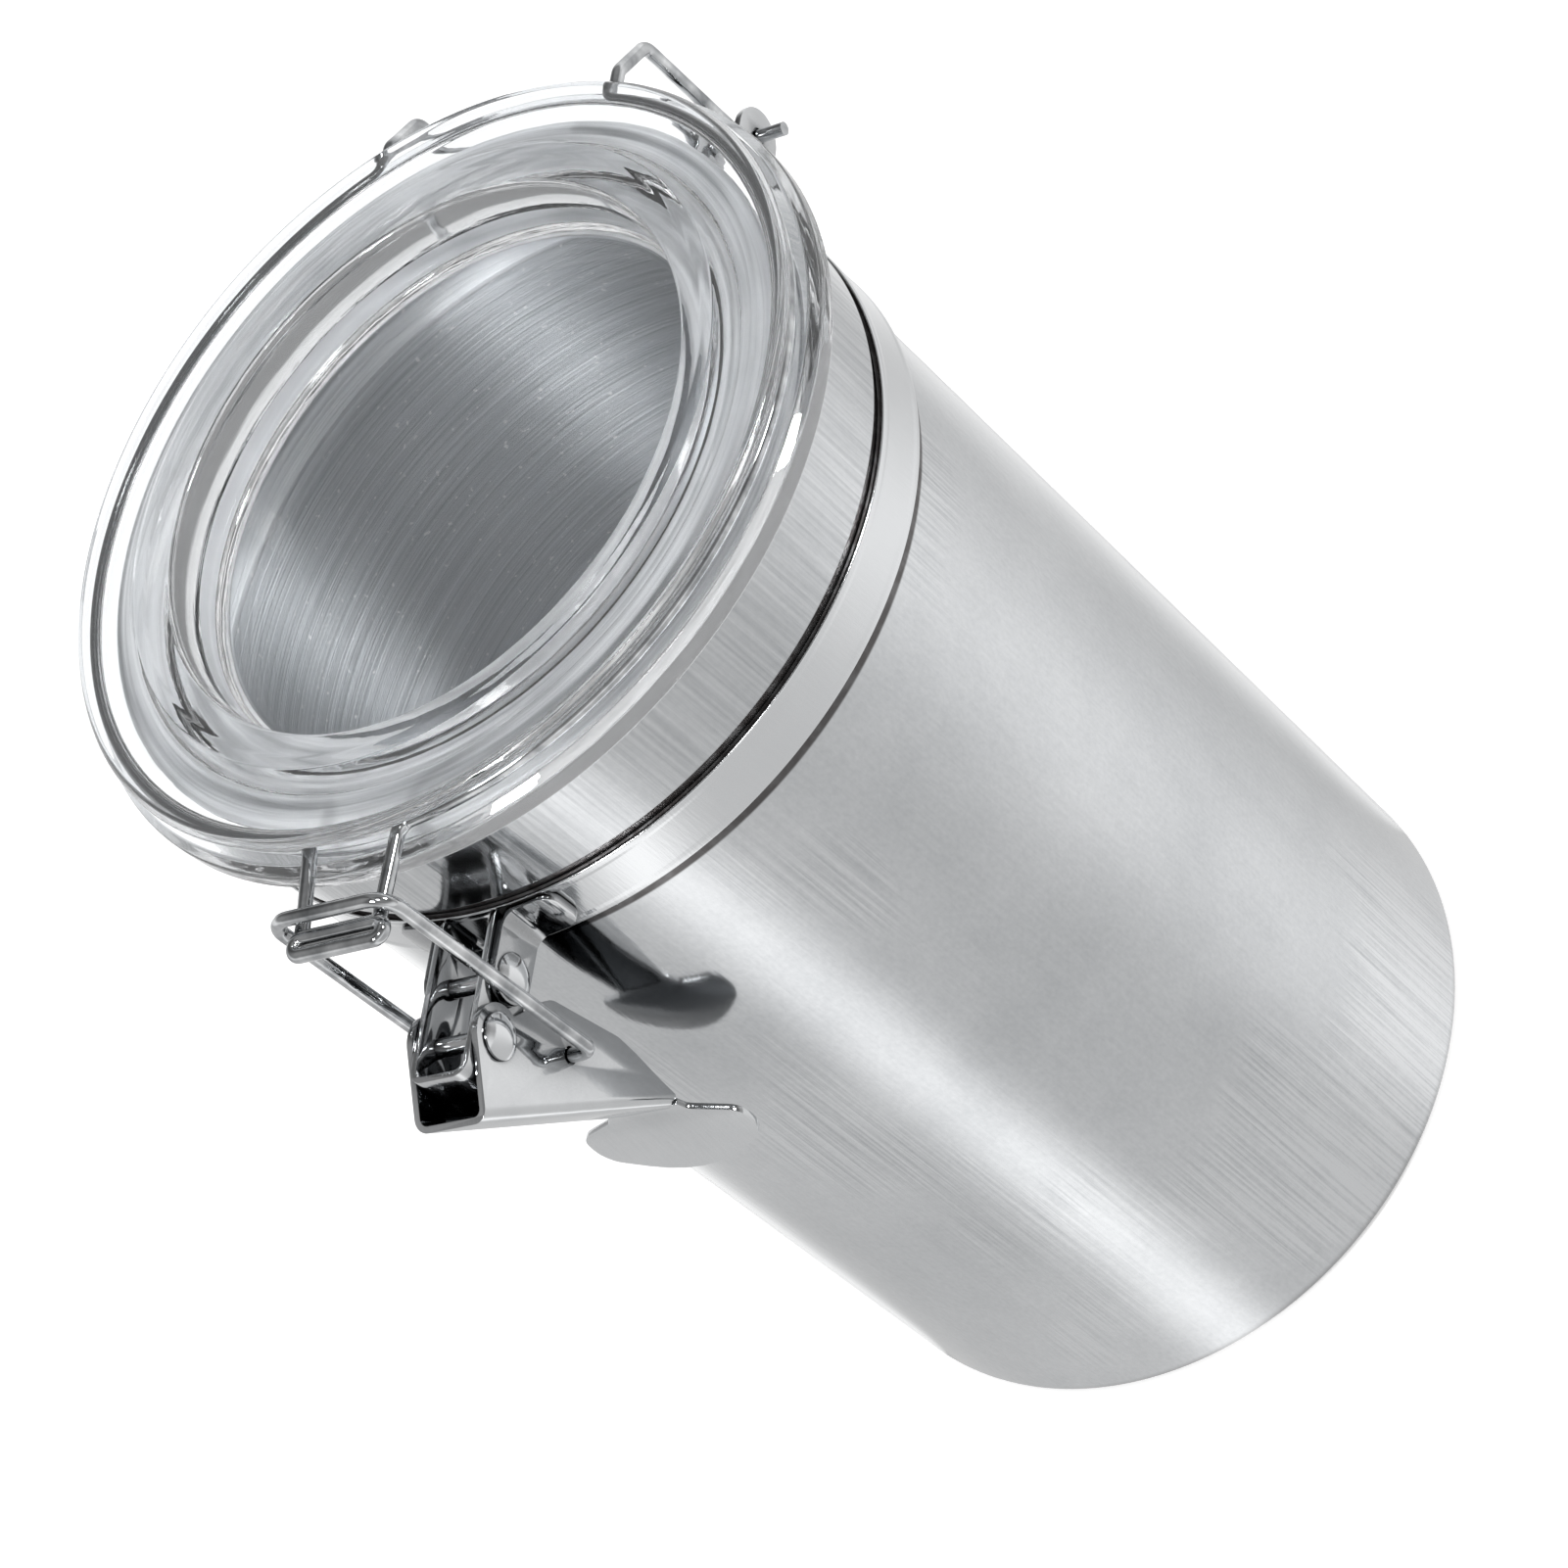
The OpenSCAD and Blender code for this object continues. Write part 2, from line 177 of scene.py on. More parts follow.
class Look:
    # one material and its node tree
    def __init__(self, name):
        self.material = bpy.data.materials.new(name)
        self.material.use_nodes = True
        self.tree = self.material.node_tree
        self.tree.nodes.clear()
        self.output = self.node("ShaderNodeOutputMaterial")
        self.place = self.node("ShaderNodeTexCoord").outputs["Object"]

    def node(self, kind, settings=None, inputs=None):
        return addNode(self.tree, kind, settings, inputs)

    def axes(self):
        parts = self.node("ShaderNodeSeparateXYZ", None, {0: self.place})
        return [Value(self.tree, part) for part in parts.outputs]

    def joined(self, x, y, z):
        return self.node("ShaderNodeCombineXYZ", None, {0: x, 1: y, 2: z}).outputs[0]

    def noise(self, scale, detail=2.0, stretch=(1, 1, 1), rough=0.5, vector=None):
        if vector is None:
            mapping = self.node("ShaderNodeMapping", None, {"Vector": self.place, "Scale": stretch})
            vector = mapping.outputs[0]
        node = self.node("ShaderNodeTexNoise", None, {
            "Vector": vector, "Scale": scale, "Detail": detail, "Roughness": rough})
        return Value(self.tree, node.outputs["Fac"])

    def openness(self, reach):
        # 1 on an open surface and towards 0 in a corner
        node = self.node("ShaderNodeAmbientOcclusion", {"samples": 8}, {"Distance": reach})
        return Value(self.tree, node.outputs["AO"])

    def mix(self, factor, a, b):
        return self.node("ShaderNodeMix", {"data_type": "RGBA"}, {0: factor, 6: a, 7: b}).outputs[2]

    def bump(self, height, strength, distance):
        return self.node("ShaderNodeBump", None, {
            "Height": height, "Strength": strength, "Distance": distance}).outputs[0]

    def surface(self, inputs):
        shader = self.node("ShaderNodeBsdfPrincipled", None, inputs)
        self.show(shader)
        return shader

    def show(self, shader):
        self.tree.links.new(shader.outputs[0], self.output.inputs["Surface"])


def grey(tone, tint=0.0):
    # a positive tint is cooler
    return (tone - tint, tone, tone + tint, 1)


# finishes, with places, radii and distances in metres

brushing = {
    "patchScale": 26, "patchStretch": (1, 1, 0.6), "patchEdge": (0.53, 0.64), "patchBump": 1.5,
    "smearScale": 30, "smearStretch": (1, 1, 0.55), "smearRough": 0.62, "smearGloss": 0.1,
    "cloudScale": 20, "cloudRough": 0.65, "cloudTone": 0.9, "cloudGloss": 0.08,
    "grainScale": 1400, "grainStretch": (1, 1, 0.6), "grainBump": 0.35, "lineBump": 0.6,
    "darkTint": 0.016, "lightTint": 0.014, "lowEdge": (0.002, 0.05), "depth": 0.00008,
    # one dark colour for the grime and painted shade in the recess at the strap's top and for the painted
    # shadow under the strap, also used to darken the foot
    "grimeAndShade": (0.045, 0.036, 0.034, 1), "grimeAndShadeLeast": 0.8, "crumbScale": 420, "crumbEdge": (0.3, 0.62),
    "gapSoft": 0.00015, "gapCrumbs": 0.15, "gapRough": 0.4, "underSoft": 0.0005, "underCrumbs": 0.08,
    "footLow": 0.001, "footDarkening": 0.75, "smoothest": 0.04,
}


def brushedWall(name, s, b):
    # steel brushed along the axis, scratched in places, mottled, lighter towards the bottom as painted
    # light, with grime and painted shade in the recess at the strap's top, a painted shadow under the
    # strap, and darker towards the foot
    look = Look(name)
    z = look.axes()[2]
    fine = look.noise(s["lineScale"], 2, (1, 1, s["lineStretch"]))
    patch = look.noise(b["patchScale"], 2, b["patchStretch"]).step(*b["patchEdge"])
    smear = look.noise(b["smearScale"], 5, b["smearStretch"], b["smearRough"])
    cloud = look.noise(b["cloudScale"], 4, rough=b["cloudRough"])
    grain = look.noise(b["grainScale"], 2, b["grainStretch"])
    tone = fine.swing(patch * s["scratch"] + s["lineTone"]) + smear.swing(s["smearTone"])
    tone = tone + cloud.swing(b["cloudTone"]) + grain.swing(s["grainTone"])
    # painted light: the wall is lighter towards the bottom
    tone = tone + (1.0 - z.step(*b["lowEdge"])) * s["paintedLowLight"] + 0.5
    colour = look.mix(tone.clamp(), grey(s["dark"], b["darkTint"]), grey(s["light"], b["lightTint"]))
    crumbs = look.noise(b["crumbScale"], 3).step(*b["crumbEdge"])
    # the colour darkens towards the foot
    foot = (1.0 - z.step(b["footLow"], s["foot"])) * b["footDarkening"]
    # grime and painted shade: a dark band in the recess between the strap's top and the neck, broken up by
    # crumbs of grime
    gap = z.band(*s["gap"], b["gapSoft"]) * (crumbs * b["gapCrumbs"] + b["grimeAndShadeLeast"])
    # painted shadow: a dark line on the wall just under the strap
    under = z.band(*s["under"], b["underSoft"]) * (crumbs * b["underCrumbs"] + b["grimeAndShadeLeast"])
    colour = look.mix((gap + under + foot).clamp(), colour, b["grimeAndShade"])
    rough = s["rough"] + smear.swing(b["smearGloss"]) + cloud.swing(b["cloudGloss"]) + gap * b["gapRough"]
    height = fine * (patch * b["patchBump"] + b["lineBump"]) + grain * b["grainBump"]
    look.surface({
        "Base Color": colour, "Metallic": 1.0, "Roughness": rough.clamp(b["smoothest"]),
        "Normal": look.bump(height, s["bump"], b["depth"])})
    return look.material


def spunWall(name, s):
    # inner wall, with turning marks round the axis and a pressed line under the neck, which has a painted
    # highlight in its colour as well as its bump
    look = Look(name)
    x, y, z = look.axes()
    radius = (x * x + y * y).root()
    marks = look.joined(radius, z, x * s["drift"])
    fine = look.noise(s["lineScale"], 3, vector=marks, rough=s["lineRough"])
    broad = look.noise(s["broadScale"], 2, vector=marks)
    cloud = look.noise(s["cloudScale"], 3)
    specks = look.noise(s["speckScale"], 1).step(*s["speckEdge"])
    line = z.band(*s["line"], s["lineSoft"])
    tone = fine.swing(s["lineTone"]) + broad.swing(s["broadTone"]) + cloud.swing(s["cloudTone"])
    # painted highlight: the pressed line under the neck is lightened in the colour
    tone = tone + line * s["linePaintedHighlight"] + 0.5
    colour = look.mix(tone.clamp(), grey(s["dark"], s["darkTint"]), grey(s["light"], s["lightTint"]))
    colour = look.mix(specks * s["speckMix"], colour, grey(s["speckTone"]))
    rough = s["rough"] + cloud.swing(s["cloudGloss"]) + specks * s["speckRough"] + line * s["lineMatt"]
    height = fine + broad * s["broadBump"] + line * s["lineBump"]
    look.surface({
        "Base Color": colour, "Metallic": s["metal"], "Roughness": rough.clamp(s["smoothest"]),
        "Normal": look.bump(height, s["bump"], s["depth"]),
        "Anisotropic": s["spread"], "Anisotropic Rotation": s["spreadTurn"]})
    return look.material


pressing = {
    "cloudScale": 160, "cloudTone": 0.4, "cloudGloss": 0.06, "cloudBump": 2, "grainScale": 2200,
    "grainGloss": 0.05, "darkTint": 0.014, "lightTint": 0.012, "cornerShadeTint": 0.004, "depth": 0.00008,
    "smoothest": 0.03,
}


def sheetSteel(name, s, b):
    # pressed and polished sheet, with painted shade darkening it in its corners
    look = Look(name)
    cloud = look.noise(b["cloudScale"], 3)
    grain = look.noise(b["grainScale"], 2, s["grain"])
    tone = 0.5 + grain.swing(s["grainTone"]) + cloud.swing(b["cloudTone"])
    colour = look.mix(tone.clamp(), grey(s["dark"], b["darkTint"]), grey(s["light"], b["lightTint"]))
    # painted shade: ambient occlusion darkens the colour towards the corner tone where the sheet is hemmed
    # in
    unshaded = (look.openness(s["reach"]) ** s["power"]).clamp()
    colour = look.mix(unshaded, grey(s["corner"], b["cornerShadeTint"]), colour)
    rough = s["rough"] + cloud.swing(b["cloudGloss"]) + grain.swing(b["grainGloss"])
    look.surface({
        "Base Color": colour, "Metallic": 1.0, "Roughness": rough.clamp(b["smoothest"]),
        "Normal": look.bump(grain + cloud * b["cloudBump"], s["bump"], b["depth"])})
    return look.material


def drawnWire(name, s):
    # bright drawn wire, with painted shade where it lies in a groove
    look = Look(name)
    cloud = look.noise(s["cloudScale"], 3)
    scuff = look.noise(s["scuffScale"], 2)
    tone = 0.5 + cloud.swing(s["cloudTone"])
    colour = look.mix(tone.clamp(), grey(s["dark"], s["tint"]), grey(s["light"], s["tint"]))
    # painted shade: ambient occlusion darkens the wire towards the groove tone where it lies in the lid's
    # groove
    unshaded = look.openness(s["reach"]).step(*s["grooveShadeEdge"])
    colour = look.mix(unshaded, grey(s["groove"], s["grooveShadeTint"]), colour)
    rough = s["rough"] + scuff.swing(s["scuffGloss"])
    look.surface({
        "Base Color": colour, "Metallic": 1.0, "Roughness": rough.clamp(s["smoothest"]),
        "Normal": look.bump(cloud + scuff * s["scuffBump"], s["bump"], s["depth"])})
    return look.material


def clearAcrylic(name, s):
    # clear plastic with moulding waves, stronger outside the window, and small zigzags on the slope
    look = Look(name)
    x, y, z = look.axes()
    radius = (x * x + y * y).root()
    flow = look.noise(s["flowScale"], 2, vector=look.joined(radius, z, x * s["flowDrift"]))
    wave = look.noise(s["waveScale"], 1)
    scuff = look.noise(s["scuffScale"], 3)
    rim = radius.step(s["rim"], s["rim"] + s["rimSoft"])
    slope = radius.band(*s["slope"], s["slopeSoft"])
    zigzag = (radius * s["skew"]).folded(1.0) * s["zigzag"]
    ripple = (y.angle(x) * s["ripples"] + zigzag).sine() * slope
    rough = (scuff - s["scuffFrom"]).clamp() * s["scuff"] + rim * s["haze"] + s["rough"]
    colour = look.mix(rim, grey(s["tone"], s["tint"]), grey(s["rimTone"], s["rimTint"]))
    height = wave * (rim * s["rimWave"] + 1.0) + flow * rim * s["flow"] + ripple * s["ripple"]
    shader = look.surface({
        "Base Color": colour, "Metallic": 0.0, "Roughness": rough.clamp(), "IOR": s["ior"],
        "Transmission Weight": s["clear"], "Normal": look.bump(height, s["bump"], s["depth"])})
    # light passes it without a dark shadow
    shadowRay = look.node("ShaderNodeLightPath").outputs["Is Shadow Ray"]
    through = look.node("ShaderNodeBsdfTransparent", None, {"Color": grey(s["shadow"])})
    look.show(look.node("ShaderNodeMixShader", None, {
        0: shadowRay, 1: shader.outputs[0], 2: through.outputs[0]}))
    return look.material


def softSilicone(name, s):
    # clear rubber with moulded rings
    look = Look(name)
    x, y, z = look.axes()
    radius = (x * x + y * y).root()
    place = look.joined(radius, z * s["upStretch"], x * s["drift"])
    rings = look.noise(s["ringScale"], 3, vector=place, rough=s["ringRough"])
    cloud = look.noise(s["cloudScale"], 3)
    tone = rings.swing(s["ringTone"]) + cloud.swing(s["cloudTone"]) + 0.5
    colour = look.mix(tone.clamp(), grey(s["dark"], s["tint"]), grey(s["light"], s["tint"]))
    rough = s["rough"] + cloud.swing(s["cloudGloss"])
    look.surface({
        "Base Color": colour, "Roughness": rough.clamp(), "IOR": s["ior"],
        "Transmission Weight": s["clear"], "Normal": look.bump(rings, s["bump"], s["depth"])})
    return look.material


# painted light and shade in these finishes: gap is the height of a band of grime and painted shade at the
# strap's top, and under the height of a line of painted shadow below the strap; foot is the height below
# which the wall darkens; the low light is painted light that makes the wall lighter towards the bottom;
# corner is the tone of painted shade in corners, and groove the tone of painted shade on the wire in the
# lid's groove; the line light is a painted highlight on the pressed line inside
steel = {
    "wall": {
        "lineScale": 2200, "lineStretch": 0.012, "lineTone": 0.25, "scratch": 2.0, "smearTone": 1.0,
        "grainTone": 0.5, "dark": 0.6, "light": 0.88, "paintedLowLight": 0.2, "rough": 0.09, "bump": 0.1,
        "foot": 0.0042, "gap": (0.17655, 0.17825), "under": (0.1648, 0.166)},
    "neck": {
        "lineScale": 1500, "lineStretch": 0.02, "lineTone": 1.2, "scratch": 1.6, "smearTone": 0.5,
        "grainTone": 0.3, "dark": 0.54, "light": 0.88, "paintedLowLight": 0.0, "rough": 0.13, "bump": 0.3,
        "foot": 0.002, "gap": (0.1781, 0.1784), "under": (0.1781, 0.1783)},
    "inside": {
        "lineScale": 2100, "lineTone": 1.3, "lineRough": 0.7, "drift": 0.02,
        "broadScale": 420, "broadTone": 0.5, "broadBump": 0.6,
        "cloudScale": 14, "cloudTone": 0.35, "cloudGloss": 0.12,
        "speckScale": 1000, "speckEdge": (0.7, 0.74), "speckMix": 0.7, "speckTone": 0.98, "speckRough": 0.3,
        "line": (0.1768, 0.1805), "lineSoft": 0.0012, "linePaintedHighlight": 0.9, "lineMatt": 0.15, "lineBump": 3.0,
        "dark": 0.38, "darkTint": 0.03, "light": 0.84, "lightTint": 0.026, "metal": 0.94,
        "rough": 0.36, "smoothest": 0.05, "spread": 0.95, "spreadTurn": 0.25,
        "bump": 1.0, "depth": 0.00018},
    "strap": {
        "grain": (1, 1, 0.1), "grainTone": 0.3, "dark": 0.8, "light": 0.92, "corner": 0.2,
        "rough": 0.13, "bump": 0.2, "reach": 0.002, "power": 1.0},
    "sheet": {
        "grain": (1, 0.1, 0.1), "grainTone": 0.4, "dark": 0.74, "light": 0.94, "corner": 0.05,
        "rough": 0.08, "bump": 0.25, "reach": 0.03, "power": 1.8},
    "link": {
        "grain": (1, 0.1, 0.1), "grainTone": 0.5, "dark": 0.7, "light": 0.92, "corner": 0.16,
        "rough": 0.1, "bump": 0.25, "reach": 0.012, "power": 1.3},
    "rivet": {
        "grain": (1, 1, 1), "grainTone": 0.1, "dark": 0.75, "light": 0.9, "corner": 0.12,
        "rough": 0.12, "bump": 0.1, "reach": 0.003, "power": 1.2},
    "wire": {
        "cloudScale": 220, "cloudTone": 2.2, "scuffScale": 1500, "scuffGloss": 0.08, "scuffBump": 0.3,
        "dark": 0.3, "light": 0.86, "tint": 0.012, "groove": 0.24, "grooveShadeTint": 0.002,
        "grooveShadeEdge": (0.2, 0.75), "reach": 0.0022, "rough": 0.08, "smoothest": 0.03,
        "bump": 0.15, "depth": 0.0001},
}
acrylic = {
    "clear": 0.98, "ior": 1.49, "tone": 0.98, "tint": 0.006, "rimTone": 0.9, "rimTint": 0.012,
    "shadow": 0.92, "rough": 0.0, "haze": 0.01, "scuff": 0.08, "scuffScale": 420, "scuffFrom": 0.55,
    "waveScale": 34, "rimWave": 2.5, "flow": 0.35, "flowScale": 520, "flowDrift": 0.2,
    "rim": 0.0452, "rimSoft": 0.001, "slope": (0.0475, 0.0505), "slopeSoft": 0.0015,
    "ripple": 0.1, "ripples": 40, "skew": 300, "zigzag": 2.0, "bump": 0.16, "depth": 0.0006,
}
silicone = {
    "dark": 0.42, "light": 0.98, "tint": 0.01, "clear": 0.5, "ior": 1.41,
    "ringScale": 520, "ringTone": 3.4, "ringRough": 0.6, "upStretch": 0.3, "drift": 0.03,
    "cloudScale": 90, "cloudTone": 0.6, "cloudGloss": 0.2, "rough": 0.36, "bump": 0.3, "depth": 0.0003,
}

wallSteel = brushedWall("brushed_wall", steel["wall"], brushing)
neckSteel = brushedWall("brushed_neck", steel["neck"], brushing)
insideSteel = spunWall("spun_inside", steel["inside"])
strapSteel = sheetSteel("strap_steel", steel["strap"], pressing)
latchSteel = sheetSteel("latch_steel", steel["sheet"], pressing)
linkSteel = sheetSteel("link_steel", steel["link"], pressing)
rivetSteel = sheetSteel("rivet_steel", steel["rivet"], pressing)
wireSteel = drawnWire("wire_steel", steel["wire"])
lidClear = clearAcrylic("lid_acrylic", acrylic)
gasketClear = softSilicone("gasket_silicone", silicone)
print("finishes made")


# geometry node trees: turning, sweeping and riveting

# how finely meshes are cut, weld distances in metres, and the bends in degrees that are shaded smooth
meshing = {
    "turnedCuts": 320, "wireSides": 28, "pinSides": 40, "headSides": 64, "domeRings": 96,
    "weld": 0.000001, "cadWeld": 0.000002, "turnedSmooth": 32, "pressedSmooth": 35, "wireSmooth": 40,
}


def newTree(name, inputs):
    tree = bpy.data.node_groups.new(name, "GeometryNodeTree")
    tree.interface.new_socket("Geometry", in_out="INPUT", socket_type="NodeSocketGeometry")
    for label, kind in inputs:
        tree.interface.new_socket(label, in_out="INPUT", socket_type="NodeSocket" + kind)
    tree.interface.new_socket("Geometry", in_out="OUTPUT", socket_type="NodeSocketGeometry")
    return tree, addNode(tree, "NodeGroupInput").outputs


def finishTree(tree, geometry, material):
    real = addNode(tree, "GeometryNodeRealizeInstances", None, {0: geometry})
    done = addNode(tree, "GeometryNodeSetMaterial", None, {
        "Geometry": real.outputs[0], "Material": material})
    addNode(tree, "NodeGroupOutput", None, {0: done.outputs[0]})
    return tree


def alongPath(tree, path, radius, sides):
    # a round wire along a path of edges
    curve = addNode(tree, "GeometryNodeMeshToCurve", None, {"Mesh": path})
    ring = addNode(tree, "GeometryNodeCurvePrimitiveCircle", None, {"Resolution": sides, "Radius": radius})
    wire = addNode(tree, "GeometryNodeCurveToMesh", None, {
        "Curve": curve.outputs[0], "Profile Curve": ring.outputs[0], "Fill Caps": True})
    return wire.outputs[0]


def raised(tree, geometry, height):
    offset = addNode(tree, "ShaderNodeCombineXYZ", None, {2: height})
    moved = addNode(tree, "GeometryNodeTransform", None, {
        "Geometry": geometry, "Translation": offset.outputs[0]})
    return moved.outputs[0]


def together(tree, parts):
    group = addNode(tree, "GeometryNodeJoinGeometry")
    for part in parts:
        tree.links.new(part, group.inputs[0])
    return group.outputs[0]


def turningTree():
    # an (r, z) outline, carried round the axis on a small circle
    tree, given = newTree("turning", (
        ("Segments", "Int"), ("Start Radius", "Float"), ("Material", "Material")))
    circle = addNode(tree, "GeometryNodeCurvePrimitiveCircle", None, {
        "Resolution": given["Segments"], "Radius": given["Start Radius"]})
    outline = addNode(tree, "GeometryNodeMeshToCurve", None, {"Mesh": given["Geometry"]})
    wall = addNode(tree, "GeometryNodeCurveToMesh", None, {
        "Curve": circle.outputs[0], "Profile Curve": outline.outputs[0]})
    welded = addNode(tree, "GeometryNodeMergeByDistance", None, {
        "Geometry": wall.outputs[0], "Distance": meshing["weld"]})
    return finishTree(tree, welded.outputs[0], given["Material"])


def wireTree():
    tree, given = newTree("wire", (("Radius", "Float"), ("Sides", "Int"), ("Material", "Material")))
    wire = alongPath(tree, given["Geometry"], given["Radius"], given["Sides"])
    return finishTree(tree, wire, given["Material"])


def rivetTree():
    # a pin along each edge, and a domed head on each end, facing as its point says
    tree, given = newTree("rivet", (
        ("Pin Radius", "Float"), ("Head Radius", "Float"), ("Rim Height", "Float"),
        ("Dome Height", "Float"), ("Material", "Material")))
    pins = alongPath(tree, given["Geometry"], given["Pin Radius"], meshing["pinSides"])
    head, rim, dome = [Value(tree, given[label]) for label in ("Head Radius", "Rim Height", "Dome Height")]
    band = addNode(tree, "GeometryNodeMeshCylinder", {"fill_type": "NONE"}, {
        "Vertices": meshing["headSides"], "Radius": head, "Depth": rim})
    ballRadius = (head * head + dome * dome) / (dome * 2.0)
    ball = addNode(tree, "GeometryNodeMeshUVSphere", None, {
        "Segments": meshing["headSides"], "Rings": meshing["domeRings"], "Radius": ballRadius})
    sunk = raised(tree, ball.outputs[0], dome - ballRadius + rim)
    place = addNode(tree, "GeometryNodeInputPosition")
    height = addNode(tree, "ShaderNodeSeparateXYZ", None, {0: place.outputs[0]}).outputs[2]
    low = addNode(tree, "FunctionNodeCompare", {"data_type": "FLOAT", "operation": "LESS_THAN"}, {
        0: height, 1: rim})
    cap = addNode(tree, "GeometryNodeDeleteGeometry", {"domain": "POINT"}, {
        "Geometry": sunk, "Selection": low.outputs[0]})
    knob = together(tree, (raised(tree, band.outputs[0], rim * 0.5), cap.outputs[0]))
    facing = addNode(tree, "GeometryNodeInputNamedAttribute", {"data_type": "FLOAT_VECTOR"}, {
        "Name": "facing"})
    turn = addNode(tree, "FunctionNodeAlignRotationToVector", {"axis": "Z"}, {"Vector": facing.outputs[0]})
    heads = addNode(tree, "GeometryNodeInstanceOnPoints", None, {
        "Points": given["Geometry"], "Instance": knob, "Rotation": turn.outputs[0]})
    return finishTree(tree, together(tree, (pins, heads.outputs[0])), given["Material"])


def pathMesh(name, paths, closed=False):
    # each path is a list of points in millimetres
    mesh = bpy.data.meshes.new(name)
    verts, lines = [], []
    for path in paths:
        first = len(verts)
        verts += [Vector(point) * mm for point in path]
        lines += [(i, i + 1) for i in range(first, len(verts) - 1)]
        if closed:
            lines.append((len(verts) - 1, first))
    mesh.from_pydata(verts, lines, [])
    return mesh


def grown(name, source, tree, values):
    # runs a tree on a mesh and keeps the result as a plain mesh
    carrier = bpy.data.objects.new(name + "_source", source)
    bpy.context.scene.collection.objects.link(carrier)
    modifier = carrier.modifiers.new("nodes", "NODES")
    modifier.node_group = tree
    for item in tree.interface.items_tree:
        if item.in_out == "INPUT" and item.name in values:
            modifier[item.identifier] = values[item.name]
    ready = carrier.evaluated_get(bpy.context.evaluated_depsgraph_get())
    mesh = bpy.data.meshes.new_from_object(ready)
    carrier.modifiers.remove(modifier)
    bpy.data.objects.remove(carrier)
    mesh.materials.clear()
    mesh.materials.append(values["Material"])
    mesh.polygons.foreach_set("material_index", [0] * len(mesh.polygons))
    mesh.name = name
    return mesh


turning, sweeping, riveting = turningTree(), wireTree(), rivetTree()


# mesh helpers

def newPiece(name, mesh, body, slotName, *replaced):
    piece = bpy.data.objects.new(name, mesh)
    bpy.context.scene.collection.objects.link(piece)
    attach(piece, body)
    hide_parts(*replaced)


def roundedPath(rows, step, closed=True):
    # a row is a corner's place and the radius of its arc; a radius of 0 keeps the corner
    corners = [Vector(row[:-1]) for row in rows]
    count = len(rows)
    path = []
    for i, corner in enumerate(corners):
        radius = rows[i][-1]
        if radius == 0 or (not closed and i in (0, count - 1)):
            path.append(corner)
            continue
        back = (corners[i - 1] - corner).normalized()
        ahead = (corners[(i + 1) % count] - corner).normalized()
        half = math.acos(max(-1, min(1, back.dot(ahead)))) / 2
        centre = corner + (back + ahead).normalized() * radius / math.sin(half)
        start = corner + back * radius / math.tan(half) - centre
        end = corner + ahead * radius / math.tan(half) - centre
        sweep = math.pi - 2 * half
        steps = max(2, math.ceil(math.degrees(sweep) / step))
        for k in range(steps + 1):
            f = k / steps
            spoke = start * math.sin(sweep * (1 - f)) + end * math.sin(sweep * f)
            path.append(centre + spoke / math.sin(sweep))
    return path


def cleaned(mesh, degrees):
    # normals outward, doubles merged, smooth with sharp edges over an angle
    bm = bmesh.new()
    bm.from_mesh(mesh)
    bmesh.ops.remove_doubles(bm, verts=bm.verts[:], dist=meshing["weld"])
    bmesh.ops.recalc_face_normals(bm, faces=bm.faces[:])
    for face in bm.faces:
        face.smooth = True
    for edge in bm.edges:
        edge.smooth = len(edge.link_faces) == 2 and edge.calc_face_angle(0) < math.radians(degrees)
    bm.to_mesh(mesh)
    bm.free()
    return mesh


def turned(name, outline, material):
    start = 1.0  # radius of the small circle, on which the outline's own y axis points down
    source = pathMesh(name + "_outline", [[(r - start, -z, 0) for r, z in outline]], True)
    mesh = grown(name, source, turning, {
        "Segments": meshing["turnedCuts"], "Start Radius": start * mm, "Material": material})
    return cleaned(mesh, meshing["turnedSmooth"])


def swept(name, paths, radius, closed=False):
    # a round wire along each path
    source = pathMesh(name + "_path", paths, closed)
    return grown(name, source, sweeping, {
        "Radius": radius * mm, "Sides": meshing["wireSides"], "Material": wireSteel})


# canister body, in millimetres and degrees

can = {
    "radius": 60.0, "wall": 0.8, "rim": 195.0, "neckLow": 178.2, "neckOut": 61.0,
    "bottomRound": 3.8, "neckCorner": 0.2, "neckEdge": 0.5, "rimRound": 0.6, "step": 9,
    "upLeast": -0.01, "outMost": 0.0001, "heightSlack": 0.1, "radiusSlack": 0.05,
}


def makeCan(s):
    inner, innerRound = s["radius"] - s["wall"], s["bottomRound"] - s["wall"]
    rows = [
        (0, 0, 0), (s["radius"], 0, s["bottomRound"]), (s["radius"], s["neckLow"], s["neckCorner"]),
        (s["neckOut"], s["neckLow"], s["neckEdge"]), (s["neckOut"], s["rim"], s["rimRound"]),
        (inner, s["rim"], s["rimRound"]), (inner, s["wall"], innerRound), (0, s["wall"], 0)]
    mesh = turned("canister_shell", roundedPath(rows, s["step"]), wallSteel)
    mesh.materials.append(neckSteel)
    mesh.materials.append(insideSteel)
    # faces that look up or to the axis are the inside, and outer ones above the strap are the neck
    for face in mesh.polygons:
        r, z = face.center.xy.length / mm, face.center.z / mm
        outwards = face.normal.xy.dot(face.center.xy)
        if face.normal.z > s["upLeast"] and outwards < s["outMost"]:
            face.material_index = 2
        elif z > s["neckLow"] - s["heightSlack"] and r > s["radius"] + s["radiusSlack"]:
            face.material_index = 1
    newPiece("canister_shell", mesh, "base", "brushed_steel", "canister_body")


makeCan(can)
print("canister made")


# strap, in millimetres and degrees

strap = {
    "inner": 60.05, "outer": 61.35, "low": 167.0, "height": 9.6, "edge": 0.35,
    "dish": 0.12, "dishFrom": 1.0, "dishTo": 1.6, "dishRound": 0.6, "step": 15,
}


